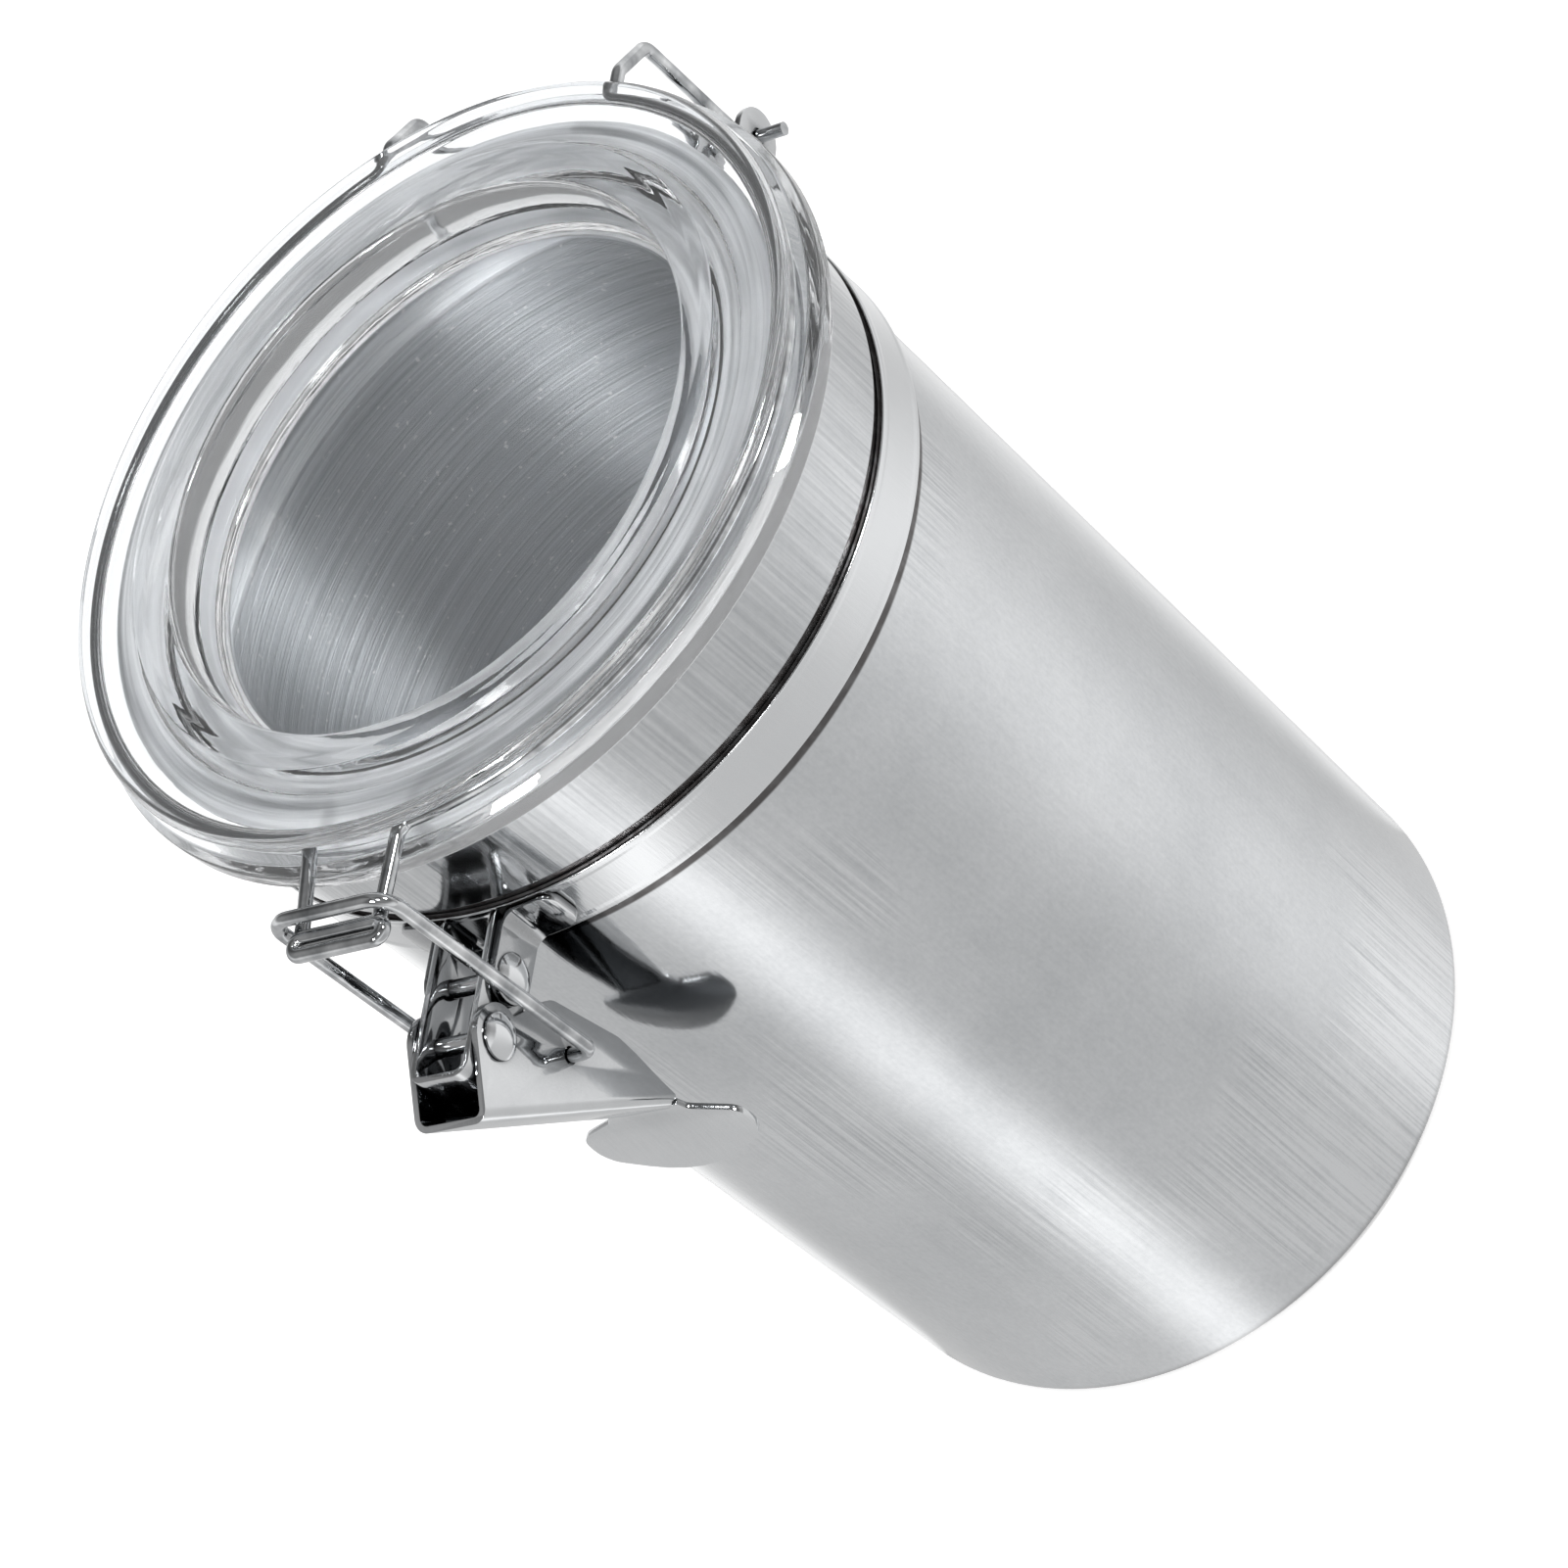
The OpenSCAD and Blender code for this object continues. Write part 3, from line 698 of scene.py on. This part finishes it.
def makeStrap(s):
    low, high, edge, bend = s["low"], s["low"] + s["height"], s["edge"], s["dishRound"]
    outer, dished = s["outer"], s["outer"] - s["dish"]
    rows = [
        (s["inner"], low, edge), (outer, low, edge), (outer, low + s["dishFrom"], bend),
        (dished, low + s["dishTo"], bend), (dished, high - s["dishTo"], bend),
        (outer, high - s["dishFrom"], bend), (outer, high, edge), (s["inner"], high, edge)]
    mesh = turned("strap_band", roundedPath(rows, s["step"]), strapSteel)
    newPiece("strap_band", mesh, "base", "bright_steel", "neck_strap")


makeStrap(strap)
print("strap made")


# ears, bracket and lever: widths of their broken edges in metres, angles in degrees

edges = {"ear": 0.00018, "bracket": 0.00016, "lever": 0.0002, "segments": 2, "sharp": 28, "flat": 0.6}


def dressed(node, name, material, width):
    # a copy of a CAD node with its coplanar faces joined and its edges broken
    mesh = nodes[node].data.copy()
    bm = bmesh.new()
    bm.from_mesh(mesh)
    bmesh.ops.remove_doubles(bm, verts=bm.verts[:], dist=meshing["cadWeld"])
    flat = math.radians(edges["flat"])
    bmesh.ops.dissolve_limit(bm, angle_limit=flat, verts=bm.verts[:], edges=bm.edges[:])
    bm.to_mesh(mesh)
    bm.free()
    mesh.materials.clear()
    mesh.materials.append(material)
    carrier = bpy.data.objects.new(name + "_raw", mesh)
    bpy.context.scene.collection.objects.link(carrier)
    bevel = carrier.modifiers.new("edge", "BEVEL")
    bevel.width = width
    bevel.segments = edges["segments"]
    bevel.limit_method = "ANGLE"
    bevel.angle_limit = math.radians(edges["sharp"])
    done = bpy.data.meshes.new_from_object(carrier.evaluated_get(bpy.context.evaluated_depsgraph_get()))
    bpy.data.objects.remove(carrier)
    done.name = name
    body = nodes[node]["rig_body"]
    newPiece(name, cleaned(done, meshing["pressedSmooth"]), body, "bright_steel", node)


for side in ("left", "right"):
    dressed("front_ear_" + side, "latch_ear_" + side, latchSteel, edges["ear"])
    dressed("hinge_ear_" + side, "wire_ear_" + side, latchSteel, edges["ear"])
dressed("latch_bracket", "bracket_link", linkSteel, edges["bracket"])
dressed("lever", "lever_pressing", latchSteel, edges["lever"])
print("ears, bracket and lever made")


# rivets, in millimetres; a place is the right end of a pin

rivets = {
    "pinRadius": 1.4, "headRadius": 3.5, "rim": 0.3, "dome": 1.2,
    "places": ((6.5, -70.5, 172.5), (6.5, -80.2, 173.0)),
}


def makeRivets(s):
    pins, facing = [], []
    for x, y, z in s["places"]:
        pins.append([(-x, y, z), (x, y, z)])
        facing += [-1, 0, 0, 1, 0, 0]
    source = pathMesh("rivet_pins", pins)
    source.attributes.new("facing", "FLOAT_VECTOR", "POINT").data.foreach_set("vector", facing)
    mesh = grown("latch_rivets", source, riveting, {
        "Pin Radius": s["pinRadius"] * mm, "Head Radius": s["headRadius"] * mm, "Rim Height": s["rim"] * mm,
        "Dome Height": s["dome"] * mm, "Material": rivetSteel})
    cleaned(mesh, meshing["wireSmooth"])
    newPiece("latch_rivets", mesh, "base", "polished_steel", "bracket_rivet", "lever_rivet")


makeRivets(rivets)
print("rivets made")


# wires, in millimetres and degrees

wire = {
    "radius": 1.1, "step": 9,
    "bailX": 10.5, "bailEndX": 5.5, "bailY": -75.5, "bailLow": 157.4, "bailHigh": 205.2,
    "bailLowBend": 2.3, "bailHighBend": 3.5,
    "ringRadius": 62.6, "ringZ": 202.6, "ringCuts": 90, "frontX": 8.0, "frontLead": 2.6, "frontBend": 2.5,
    "rearX": 22.0, "rearLead": 2.8, "rearBend": 2.5, "rearStraightY": 64.3, "kneeY": 72.3, "kneeZ": 198.0,
    "hingeY": 73.0, "hingeZ": 171.8, "hingeBend": 1.3, "tailX": 29.5,
    "loopX": 7.9, "loopY": -76.9, "loopZ": 201.8, "loopRadius": 1.35, "loopCuts": 24,
    "loopLap": 1, "loopThicker": 0.05,
}


def makeBail(s):
    x, y, low, high = s["bailX"], s["bailY"], s["bailLow"], s["bailHigh"]
    right = [(x, y, high, s["bailHighBend"]), (x, y, low, s["bailLowBend"]), (s["bailEndX"], y, low, 0)]
    left = [(-row[0],) + row[1:] for row in reversed(right)]
    mesh = swept("bail", [roundedPath(left + right, s["step"], False)], s["radius"])
    newPiece("bail", cleaned(mesh, meshing["wireSmooth"]), "bail", "steel_wire", "bail_wire")


def sidePath(s, side):
    # hinge end, knee, ring in the groove, and the leg to the front loop
    r, z, rearX, rearBend = s["ringRadius"], s["ringZ"], s["rearX"], s["rearBend"]
    frontY = -math.sqrt(r ** 2 + s["frontLead"] ** 2 - s["frontX"] ** 2)
    frontAngle = math.atan2(s["frontX"], -frontY) + math.atan2(s["frontLead"], r)
    rearY = math.sqrt(r ** 2 + s["rearLead"] ** 2 - rearX ** 2)
    rearAngle = math.atan2(rearX, rearY) + math.atan2(s["rearLead"], r)
    rear = roundedPath([
        (s["tailX"], s["hingeY"], s["hingeZ"], 0), (rearX, s["hingeY"], s["hingeZ"], s["hingeBend"]),
        (rearX, s["kneeY"], s["kneeZ"], rearBend), (rearX, s["rearStraightY"], z, rearBend),
        (rearX, rearY, z, rearBend), (r * math.sin(rearAngle), r * math.cos(rearAngle), z, 0),
    ], s["step"], False)
    front = roundedPath([
        (r * math.sin(frontAngle), -r * math.cos(frontAngle), z, 0),
        (s["frontX"], frontY, z, s["frontBend"]), (s["loopX"] - s["loopLap"], s["loopY"], s["loopZ"], 0),
    ], s["step"], False)
    arc = []
    for k in range(1, s["ringCuts"]):
        a = rearAngle + (math.pi - frontAngle - rearAngle) * k / s["ringCuts"]
        arc.append(Vector((r * math.sin(a), r * math.cos(a), z)))
    return [Vector((side * point.x, point.y, point.z)) for point in rear + arc + front]


def makeLidWire(s):
    mesh = swept("lid_ring_wire", [sidePath(s, -1), sidePath(s, 1)], s["radius"])
    r, end = s["loopRadius"], s["loopX"] - s["loopRadius"]
    loop = []
    for side in (1, -1):
        for k in range(s["loopCuts"] + 1):
            a = math.radians(side * 90 - 180 * k / s["loopCuts"])
            loop.append((side * end + r * math.cos(a), s["loopY"] - r + r * math.sin(a), s["loopZ"]))
    eye = swept("front_loop", [loop], s["radius"] + s["loopThicker"], True)
    bm = bmesh.new()
    bm.from_mesh(mesh)
    bm.from_mesh(eye)
    bm.to_mesh(mesh)
    bm.free()
    cleaned(mesh, meshing["wireSmooth"])
    newPiece("lid_ring_wire", mesh, "lid", "steel_wire", "lid_wire")


makeBail(wire)
makeLidWire(wire)
print("wires made")


# lid, in millimetres and degrees
# the sill and each row of the bead go in from the flange's edge and up from its top, with a rounding

lid = {
    "rim": 195.0, "flangeRadius": 66.3, "flangeThick": 5.1, "flangeBevel": 1, "flangeRound": 0.5,
    "shoulder": 1.4, "shoulderRound": 1, "sill": (3.1, 0.25, 0.2),
    "grooveCut": 1.4, "grooveIn": 3.5, "grooveUp": 6.7, "grooveCuts": 12,
    "bead": ((3.0, 3.02, 0.1), (2.3, 3.05, 0.5), (1.6, 4, 0.6), (2.7, 5.3, 0.8), (4, 5, 1)),
    "valleyOut": 3.5, "valleyUp": 3.5, "valleyRound": 8,
    "crestIn": 0.3, "crestUp": 5.6, "crestWidth": 1.9, "crestRound": 0.9, "crestInnerRound": 3,
    "lipDrop": 1.1, "lipOut": 0.5, "lipRound": 1.2,
    "windowRadius": 45.6, "windowThick": 2.5, "windowRound": 2,
    "plugRadius": 52.8, "plugDepth": 2.8, "plugBevel": 1.2, "gasket": 0.9, "step": 6,
}


def makeLid(s):
    low, under = s["rim"] - s["plugDepth"], s["rim"] + s["gasket"]
    top = under + s["flangeThick"]
    outer, window, plug = s["flangeRadius"], s["windowRadius"], s["plugRadius"]
    bevel, flangeBevel, shoulder = s["plugBevel"], s["flangeBevel"], s["shoulder"]
    rows = [
        (0, low, 0), (plug - bevel, low, bevel), (plug, low + bevel, bevel), (plug, under, 0),
        (outer - flangeBevel, under, s["flangeRound"]), (outer, under + flangeBevel, s["flangeRound"]),
        (outer, top - shoulder, s["shoulderRound"]), (outer - shoulder, top, s["shoulderRound"]),
        (outer - s["sill"][0], top + s["sill"][1], s["sill"][2])]
    for k in range(s["grooveCuts"] + 1):
        a = math.radians(-90 - 180 * k / s["grooveCuts"])
        r = outer - s["grooveIn"] + s["grooveCut"] * math.cos(a)
        z = under + s["grooveUp"] + s["grooveCut"] * math.sin(a)
        rows.append((r, z, 0))
    rows += [(outer - inwards, top + up, bend) for inwards, up, bend in s["bead"]]
    crest, crestTop, floor = plug - s["crestIn"], top + s["crestUp"], low + s["windowThick"]
    rows += [
        (crest + s["valleyOut"], top + s["valleyUp"], s["valleyRound"]), (crest, crestTop, s["crestRound"]),
        (crest - s["crestWidth"], crestTop, s["crestInnerRound"]),
        (window + s["lipOut"], crestTop - s["lipDrop"], s["lipRound"]),
        (window, floor, s["windowRound"]), (0, floor, 0)]
    mesh = turned("lid_moulding", roundedPath(rows, s["step"]), lidClear)
    newPiece("lid_moulding", mesh, "lid", "clear_acrylic", "lid")


makeLid(lid)
print("lid made")


# gasket, in millimetres and degrees: a flat ring on the rim, a sleeve round the plug and a lip under it

gasket = {
    "gap": 0.05, "topGap": 0.02, "ringRadius": 60.8, "ringRound": 0.3, "sleeve": 1.75, "sleeveRound": 0.5,
    "seatRound": 0.2, "lip": 0.4, "lipRound": 0.15, "step": 15,
}


def makeGasket(s, g):
    seat, under = s["rim"] + g["gap"], s["rim"] + s["gasket"] - g["topGap"]
    inner, low = s["plugRadius"] + g["gap"], s["rim"] - s["plugDepth"] - g["gap"]
    wide, sleeve, window = g["ringRadius"], s["plugRadius"] + g["sleeve"], s["windowRadius"]
    rows = [
        (window, low - g["lip"], g["lipRound"]), (sleeve, low - g["lip"], g["sleeveRound"]),
        (sleeve, seat, g["seatRound"]), (wide, seat, g["ringRound"]), (wide, under, g["ringRound"]),
        (inner, under, 0), (inner, low, 0), (window, low, g["lipRound"])]
    mesh = turned("lid_seal", roundedPath(rows, g["step"]), gasketClear)
    newPiece("lid_seal", mesh, "lid", "clear_silicone", "lid_gasket")


makeGasket(lid, gasket)
print("gasket made")


# floor, world and lamps, in metres, degrees and watts
# a card is a pale wedge that metal mirrors in the floor: tip x, tip y, direction, sharpness, strength
# a flag is a dark side of the world that metal mirrors: direction, sharpness, strength
# a lamp is a size, a power and a place

stage = {
    "floorSize": 6.0, "floorDrop": 0.0002, "floorTone": 0.85, "lift": 0.5, "mirrored": 0.58,
    "cards": (
        (0.0244, -0.0274, -90, 34, 0.55), (0.0387, -0.0184, 30, 4.5, 0.3),
        (0.0464, 0.0376, 126, 7, 0.3), (-0.0352, -0.0485, 146, 14, 0.5)),
    "horizon": 0.95, "ceiling": 0.3, "fade": (0.17, 0.5),
    "flags": ((-104, 9, 0.6), (18, 9, 0.6), (140, 9, 0.6)),
    "cardTip": 1e-8, "flagTip": 1e-6,
    "lamps": (
        (0.36, 20, (-0.108, -1.55, 1.556)), (0.36, 20, (1.442, 0.583, 1.556)),
        (0.35, 4, (0.772, -0.695, 1.92))),
    "aim": (0, 0, 0.12),
}


def mirroredRays(tree):
    # 1 for what metal mirrors, and 0 for what is seen straight or through the lid
    rays = addNode(tree, "ShaderNodeLightPath").outputs
    return Value(tree, rays["Is Glossy Ray"]) * (1.0 - Value(tree, rays["Is Transmission Ray"]))


def wedge(x, y, direction, sharpness, strength, tip):
    # full strength straight in the direction and none square to it or behind; tip keeps the length over 0
    turn = math.radians(direction)
    length = (x * x + y * y + tip).root()
    return ((x * math.cos(turn) + y * math.sin(turn)) / length).clamp() ** sharpness * strength


def makeFloor(s):
    bm = bmesh.new()
    bmesh.ops.create_grid(bm, x_segments=2, y_segments=2, size=s["floorSize"])
    mesh = bpy.data.meshes.new("floor")
    bm.to_mesh(mesh)
    bm.free()
    floor = bpy.data.objects.new("floor", mesh)
    floor.location.z = -s["floorDrop"]
    bpy.context.scene.collection.objects.link(floor)
    look = Look("floor_paper")
    x, y = look.axes()[:2]
    level = s["mirrored"]
    for tipX, tipY, direction, sharpness, strength in s["cards"]:
        level = wedge(x - tipX, y - tipY, direction, sharpness, strength, s["cardTip"]) + level
    rays = look.node("ShaderNodeLightPath").outputs
    seen = (Value(look.tree, rays["Is Camera Ray"]) + rays["Is Transmission Ray"]).clamp()
    paper = look.node("ShaderNodeBsdfDiffuse", None, {"Color": grey(s["floorTone"])})
    lift = look.node("ShaderNodeEmission", None, {"Color": seen * s["lift"]})
    both = look.node("ShaderNodeAddShader", None, {0: paper.outputs[0], 1: lift.outputs[0]})
    cards = look.node("ShaderNodeEmission", None, {"Color": level})
    look.show(look.node("ShaderNodeMixShader", None, {
        0: mirroredRays(look.tree), 1: both.outputs[0], 2: cards.outputs[0]}))
    mesh.materials.append(look.material)


def makeWorld(s):
    # pale towards the horizon and darker overhead
    world = bpy.data.worlds.new("studio")
    bpy.context.scene.world = world
    world.use_nodes = True
    tree = world.node_tree
    place = addNode(tree, "ShaderNodeTexCoord").outputs["Generated"]
    parts = addNode(tree, "ShaderNodeSeparateXYZ", None, {0: place})
    x, y, up = [Value(tree, part) for part in parts.outputs]
    dark = 0.0
    for direction, sharpness, strength in s["flags"]:
        dark = wedge(x, y, direction, sharpness, strength, s["flagTip"]) + dark
    sky = s["horizon"] - up.step(*s["fade"]) * (s["horizon"] - s["ceiling"])
    level = sky * (1.0 - dark * mirroredRays(tree))
    tree.links.new(level.socket, tree.nodes["Background"].inputs["Color"])


def addLamp(name, place, size, power, aim):
    data = bpy.data.lights.new(name, "AREA")
    data.shape = "SQUARE"
    data.size = size
    data.energy = power
    lamp = bpy.data.objects.new(name, data)
    bpy.context.scene.collection.objects.link(lamp)
    lamp.location = place
    lamp.rotation_euler = (Vector(aim) - Vector(place)).to_track_quat("-Z", "Y").to_euler()


makeFloor(stage)
makeWorld(stage)
for number, (size, power, place) in enumerate(stage["lamps"], 1):
    addLamp("softbox_%d" % number, place, size, power, stage["aim"])
bpy.context.scene.view_settings.view_transform = "Standard"
print("stage set")
